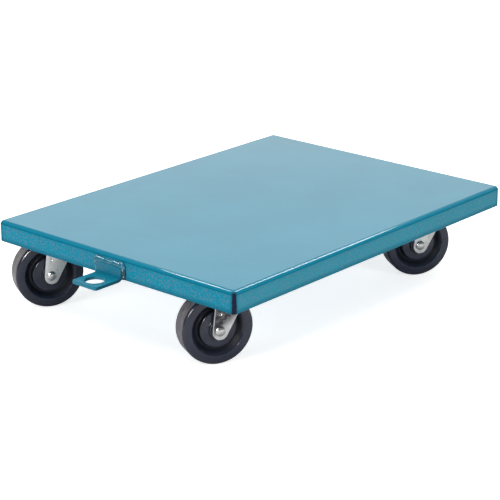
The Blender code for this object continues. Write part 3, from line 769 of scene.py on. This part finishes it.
def plate_mesh():
    """The mounting plate, with slots, a rounded rim and a pressed boss."""
    steps = 72
    low_circle, high_circle = 29.5 * MM, 31.0 * MM
    slots = [
        arc((sx * 38.1 * MM + 3 * MM, sy * 22.225 * MM), 4.4 * MM, -90, 90, 10)
        + arc((sx * 38.1 * MM - 3 * MM, sy * 22.225 * MM), 4.4 * MM, 90, 270, 10)
        for sx in (1, -1)
        for sy in (1, -1)
    ]
    bm = bmesh.new()
    outline = rounded_rectangle(47.625 * MM, 33.35 * MM, 5 * MM, 8)
    for height, radius in ((PLATE_BOTTOM, low_circle), (PLATE_TOP, high_circle)):
        edges = []
        for loop in (outline, *slots, arc((0, 0), radius, 0, 360, steps)[:-1]):
            verts = [bm.verts.new((x, y, height)) for x, y in loop]
            edges += [bm.edges.new((verts[k], verts[(k + 1) % len(verts)])) for k in range(len(verts))]
        bmesh.ops.triangle_fill(bm, use_beauty=True, use_dissolve=False, edges=edges)
    for loop in (outline, *slots):
        for k in range(len(loop)):
            a, b = loop[k], loop[(k + 1) % len(loop)]
            bm.faces.new([bm.verts.new(p) for p in ((*a, PLATE_BOTTOM), (*b, PLATE_BOTTOM), (*b, PLATE_TOP), (*a, PLATE_TOP))])
    boss = 114.7 * MM + 0.4 * MM + 5.0 * MM
    profile = rounded(
        [
            (low_circle, PLATE_BOTTOM),
            (24.4 * MM, boss + 1.2 * MM, 0.9 * MM),
            (23.2 * MM, boss, 0.8 * MM),
            (5.05 * MM, boss),
            (5.05 * MM, boss + 3 * MM),
            (21.6 * MM, boss + 3 * MM, 1.5 * MM),
            (high_circle, PLATE_TOP),
        ],
        closed=False,
    )
    spun = turned(profile, steps, "boss", closed=False, as_bm=True)
    part = as_mesh(spun)
    bm.from_mesh(part)
    bmesh.ops.remove_doubles(bm, verts=bm.verts, dist=3e-6)
    flat = as_mesh(bm)

    def rim(edge):
        return all(abs(v.co.x) > 32 * MM or abs(v.co.y) > 32.5 * MM for v in edge.verts)

    return soften(flat, 0.35 * MM, 2, 60, rim, "top_plate_plated")


def kingpin_mesh():
    head = 114.7 * MM + 0.4 * MM + 5.0 * MM + 3.0 * MM + 0.3 * MM
    foot = 111.1 * MM - 0.4 * MM - 4.5 * MM - 2.0 * MM - 0.3 * MM
    profile = [
        (0, head + 3.6 * MM),
        (5.0 * MM, head + 3.2 * MM, 3 * MM),
        (9.0 * MM, head + 1.2 * MM, 1 * MM),
        (9.0 * MM, head),
        (4.75 * MM, head),
        (4.75 * MM, foot),
        (8.5 * MM, foot),
        (8.5 * MM, foot - 1.2 * MM, 1 * MM),
        (5.0 * MM, foot - 3.1 * MM, 3 * MM),
        (0, foot - 3.5 * MM),
    ]
    return turned(rounded(profile, closed=False), 48, "kingpin_plated", closed=False)


def cup_mesh():
    top = 111.1 * MM - 0.4 * MM - 4.5 * MM
    low = top - 2.0 * MM
    profile = [
        (5.05 * MM, low),
        (17.6 * MM, low, 1.6 * MM),
        (17.6 * MM, top + 3.2 * MM, 0.5 * MM),
        (15.95 * MM, top + 3.2 * MM, 0.5 * MM),
        (15.95 * MM, top, 0.8 * MM),
        (5.05 * MM, top),
    ]
    return turned(rounded(profile), 64, "lower_cup_plated")


def ball_ring(ring, ball, count, height, name):
    """Real balls, threaded on a retainer ring."""
    bm = bmesh.new()
    for k in range(count):
        a = math.tau * k / count
        bmesh.ops.create_uvsphere(
            bm,
            u_segments=18,
            v_segments=10,
            radius=ball,
            matrix=Matrix.Translation((ring * math.cos(a), ring * math.sin(a), height)),
        )
    own = turned(arc((ring, height), 0.55 * MM, 0, 360, 8)[:-1], 72, "wire")
    bm.from_mesh(own)
    return mesh_from(bm, name, 60)


def nut_mesh():
    top = PLATE_BOTTOM - 0.3 * MM
    low = top - 6.6 * MM
    corner = 6.35 * MM / math.cos(math.radians(30))
    hexagon = arc((0, 0), corner, 0, 360, 6)[:-1]
    solid = as_mesh(slab(hexagon, [], low, top))
    chamfer = turned(
        [(0, low), (6.1 * MM, low), (7.45 * MM, low + 0.8 * MM), (7.45 * MM, top - 0.8 * MM), (6.1 * MM, top), (0, top)],
        48,
        "chamfer",
        closed=False,
    )
    body = boolean(solid, chamfer, "INTERSECT", "nut")
    bore = turned(
        [
            (0, low - MM),
            (5.9 * MM, low - MM),
            (4.25 * MM, low + 0.65 * MM),
            (4.25 * MM, top - 0.65 * MM),
            (5.9 * MM, top + MM),
            (0, top + MM),
        ],
        36,
        "bore",
        closed=False,
    )
    bm = bmesh.new()
    bm.from_mesh(boolean(body, bore, "DIFFERENCE", "nut"))
    return mesh_from(bm, "nut_plated", 25)


def stud_mesh():
    """A threaded weld stud, standing down from the deck's underside."""
    root, tip, radius, pitch = DECK_TOP - SHEET + 0.4 * MM, 115.8 * MM, 3.95 * MM, 1.25 * MM
    profile = [(0, root), (radius + 0.5 * MM, root), (radius + 0.35 * MM, root - 0.9 * MM), (radius - 0.2 * MM, root - 1.3 * MM)]
    h = root - 1.8 * MM
    while h - pitch > tip + 0.7 * MM:
        profile += [(radius - 0.55 * MM, h), (radius, h - pitch * 0.45), (radius, h - pitch * 0.55)]
        h -= pitch
    profile += [(radius - 0.5 * MM, h), (radius - 0.9 * MM, tip + 0.1 * MM), (radius - 1.2 * MM, tip), (0, tip)]
    return turned(profile, 28, "weld_stud", closed=False, sharp=40)


def bushing_mesh():
    half = 19.5 * MM
    outline = [(5.0 * MM, -half), (6.35 * MM, -half, 0.3 * MM), (6.35 * MM, half, 0.3 * MM), (5.0 * MM, half)]
    return turned(rounded(outline, steps=3), 48, "bushing_ground", axis="Y")


wheel, fork, axle, plate, kingpin = wheel_mesh(), fork_mesh(), axle_mesh(), plate_mesh(), kingpin_mesh()
cup, nut, stud, bushing = cup_mesh(), nut_mesh(), stud_mesh(), bushing_mesh()
upper = ball_ring(19.5 * MM, 2.5 * MM, 9, 114.7 * MM + 0.2 * MM + 2.5 * MM, "upper_balls_ground")
lower = ball_ring(13.5 * MM, 2.25 * MM, 7, 111.1 * MM - 0.2 * MM - 2.25 * MM, "lower_balls_ground")

# The forks get lit and shaded copies of one plating: plain, one with a painted shade patch, and a darker grey shaded
# copy.
forks = {"front_right": fork, "front_left": fork.copy(), "rear_left": fork.copy()}
for name, plating in (("front_right", ZINC_FORK), ("front_left", ZINC_SHADE_PATCHED), ("rear_left", ZINC_SHADED_GREY)):
    forks[name].materials.append(plating)
forks["rear_right"] = forks["rear_left"]

for name in CASTERS:
    turn, roll = JOINTS[f"{name}_turn"], JOINTS[f"{name}_roll"]
    pin, hub = Vector(turn["pos_m"]), Vector(roll["pos_m"])
    yaw = math.atan2(hub.y - pin.y, hub.x - pin.x)
    at_pin = Matrix.Translation((pin.x, pin.y, 0))
    swung = at_pin @ Matrix.Rotation(yaw, 4, "Z")
    at_hub = Matrix.Translation(hub) @ Matrix.Rotation(yaw, 4, "Z")
    swivel, wheels = f"{name}_swivel", f"{name}_wheel_assembly"

    add(f"{name}_plate_fine", plate, ZINC_DULL, "deck", (f"{name}_top_plate",), at_pin)
    add(f"{name}_kingpin_fine", kingpin, ZINC, "deck", (f"{name}_kingpin",), at_pin)
    add(f"{name}_lower_cup_fine", cup, ZINC_DULL, "deck", (f"{name}_lower_cup",), at_pin)
    add(f"{name}_upper_balls_fine", upper, STEEL, "deck", (f"{name}_upper_balls",), swung)
    add(f"{name}_lower_balls_fine", lower, STEEL, "deck", (f"{name}_lower_balls",), swung)
    for k in (1, 2, 3, 4):
        node = f"{name}_nut_{k}"
        place = mid(node)
        spot = Matrix.Translation((place.x, place.y, 0))
        add(f"{name}_nut_{k}_fine", nut, ZINC, "deck", (node,), spot)
        add(f"{name}_stud_{k}", stud, ZINC_DULL, "deck", (), spot)
    add(f"{name}_fork_fine", forks[name], None, swivel, (f"{name}_fork",), swung)
    add(f"{name}_axle_fine", axle, ZINC_HEAD, swivel, (f"{name}_axle",), at_hub)
    add(f"{name}_bushing_fine", bushing, STEEL, swivel, (f"{name}_bushing",), at_hub)
    add(f"{name}_wheel_fine", wheel, BLACK, wheels, (f"{name}_wheel",), at_hub)
    rollers = frame["nodes"][f"{name}_roller_bearing"]
    rollers.data.materials.clear()
    rollers.data.materials.append(STEEL)


# ================================================================ stage, light and camera
def pale_floor():
    n = Nodes("pale_floor")
    tone = n.span(n.noise(2.0, 3, 0.5), 0.2, 0.8)
    n.set(colour=n.mix(tone, (0.84, 0.84, 0.84), (0.87, 0.87, 0.87)), rough=0.9, metal=0.0, specular=0.1)
    n.shader.inputs["Emission Color"].default_value = (1, 1, 1, 1)
    path = n.new("ShaderNodeLightPath")
    n.link(n.math("MULTIPLY", path.outputs["Is Camera Ray"], 0.7), n.shader.inputs["Emission Strength"])
    return n.mat


bm = bmesh.new()
bmesh.ops.create_grid(bm, x_segments=1, y_segments=1, size=12.0)
floor = bpy.data.objects.new("floor", as_mesh(bm, "floor"))
floor.data.materials.append(pale_floor())
bpy.context.scene.collection.objects.link(floor)

# The camera: where it stands and how it's turned, about the deck's middle.
azimuth, elevation, tilt = math.radians(131.4095), math.radians(19.318), -5.06007780e-03
back = Vector((math.sin(azimuth) * math.cos(elevation), -math.cos(azimuth) * math.cos(elevation), math.sin(elevation)))
right = Vector((math.cos(azimuth), math.sin(azimuth), 0))
up = back.cross(right)
across = right * math.cos(tilt) + up * math.sin(tilt)
above = -right * math.sin(tilt) + up * math.cos(tilt)
spot = back * 2.6307 - right * 0.009549 - up * 0.071156 + Vector((DECK_X, 0, DECK_TOP))
camera = bpy.data.objects.new("camera", bpy.data.cameras.new("camera"))
bpy.context.scene.collection.objects.link(camera)
camera.matrix_world = Matrix(
    (
        (across.x, above.x, back.x, spot.x),
        (across.y, above.y, back.y, spot.y),
        (across.z, above.z, back.z, spot.z),
        (0, 0, 0, 1),
    )
)
camera.data.sensor_width = 36.0
camera.data.sensor_fit = "HORIZONTAL"
camera.data.lens = 1765.91479 / 500 * 36
camera.data.clip_end = 100
bpy.context.scene.camera = camera


def soft_light(name, place, aim, width, height, power, seen=True, only=()):
    """A soft box. One that isn't seen shows in no reflection; one with a list of pieces is a glint on those alone."""
    data = bpy.data.lights.new(name, "AREA")
    data.shape, data.size, data.size_y = "RECTANGLE", width, height
    data.energy = power
    obj = bpy.data.objects.new(name, data)
    bpy.context.scene.collection.objects.link(obj)
    obj.location = place
    obj.visible_glossy, obj.visible_diffuse = seen, not only
    if only:
        pieces = bpy.data.collections.new(name)
        for piece in bpy.data.objects:
            if piece.type == "MESH" and piece.name.endswith(only):
                pieces.objects.link(piece)
        obj.light_linking.receiver_collection = pieces
    obj.rotation_euler = (Vector(aim) - Vector(place)).to_track_quat("-Z", "Y").to_euler()
    return obj


flat = Vector((back.x, back.y, 0)).normalized()
corner = Vector((DECK_HI.x, DECK_HI.y, DECK_TOP))


def mirrored(point, normal, distance):
    """Where a light has to stand for the eye to see it mirrored at a point by a face with this normal."""
    to_eye, normal = (spot - point).normalized(), normal.normalized()
    return point + (2 * normal.dot(to_eye) * normal - to_eye) * distance


lean = math.tan(math.radians(34))
on_left, on_right = corner - Vector((0, 0.03, 0)), corner - Vector((0.13, 0, 0))
on_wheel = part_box("front_left_wheel")[0].lerp(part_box("front_left_wheel")[1], 0.5)
soft_light("overhead", (0, 0, 2.1), (0, 0, 0), 2.4, 2.4, 35, seen=False)
soft_light("left_fill", Vector((0, 0, 0.9)) + flat * 1.6 - right * 1.8, (0, 0, 0.08), 1.4, 1.0, 26, seen=False)
soft_light("right_fill", Vector((0, 0, 0.8)) + flat * 1.7 + right * 1.7, (0, 0, 0.08), 1.2, 0.9, 23, seen=False)
soft_light("bend_box_left", mirrored(on_left, Vector((lean, 0, 1)), 2.0), on_left, 0.45, 0.2, 6.5, only=("deck_pan_enamelled", "weld_bead"))
soft_light("bend_box_right", mirrored(on_right, Vector((0, lean, 1)), 2.0), on_right, 0.45, 0.5, 13, only=("deck_pan_enamelled", "weld_bead"))
soft_light("wheel_strip", on_wheel + Vector((0.852, 0.399, 0.339)) * 2.0, on_wheel, 0.4, 0.55, 42, only=("wheel_fine", "fork_fine", "axle_fine", "weld_bead"))
on_weld = Vector((TAB_LO.x, TAB_HI.y, TAB_HI.z))
soft_light("weld_box", mirrored(on_weld, Vector((0.5, 0.34, 0.8)), 1.2), on_weld, 0.48, 0.48, 11, only=("weld_bead",))

world = bpy.data.worlds.new("studio")
bpy.context.scene.world = world
world.use_nodes = True
tree = world.node_tree
sky = tree.nodes["Background"]
where = tree.nodes.new("ShaderNodeTexCoord").outputs["Generated"]


def world_span(value, low, high, to_low, to_high):
    node = tree.nodes.new("ShaderNodeMapRange")
    node.interpolation_type = "SMOOTHSTEP"
    for key, v in (("From Min", low), ("From Max", high), ("To Min", to_low), ("To Max", to_high)):
        node.inputs[key].default_value = v
    tree.links.new(value, node.inputs["Value"])
    return node.outputs["Result"]


# A bright backdrop low down behind the dolly, and a dim room elsewhere.
dot = tree.nodes.new("ShaderNodeVectorMath")
dot.operation = "DOT_PRODUCT"
tree.links.new(where, dot.inputs[0])
dot.inputs[1].default_value = tuple(-flat)
height = tree.nodes.new("ShaderNodeSeparateXYZ")
tree.links.new(where, height.inputs[0])
backdrop = tree.nodes.new("ShaderNodeMath")
backdrop.operation = "MULTIPLY_ADD"
tree.links.new(world_span(dot.outputs["Value"], 0.25, 0.8, 0.0, 1.0), backdrop.inputs[0])
rise = tree.nodes.new("ShaderNodeMath")
rise.operation = "MULTIPLY"
tree.links.new(world_span(height.outputs["Z"], 0.66, 0.42, 0.0, 0.93), rise.inputs[0])
tree.links.new(world_span(height.outputs["Z"], 0.27, 0.40, 1.0, 1.5), rise.inputs[1])
tree.links.new(rise.outputs[0], backdrop.inputs[1])
backdrop.inputs[2].default_value = 0.24
sky.inputs["Color"].default_value = (1, 1, 1, 1)
seen = tree.nodes.new("ShaderNodeLightPath").outputs["Is Camera Ray"]
plain = tree.nodes.new("ShaderNodeMath")
plain.operation = "MAXIMUM"
tree.links.new(seen, plain.inputs[0])
tree.links.new(backdrop.outputs[0], plain.inputs[1])
tree.links.new(plain.outputs[0], sky.inputs["Strength"])

bpy.context.scene.view_settings.view_transform = "Standard"

bpy.context.view_layer.update()
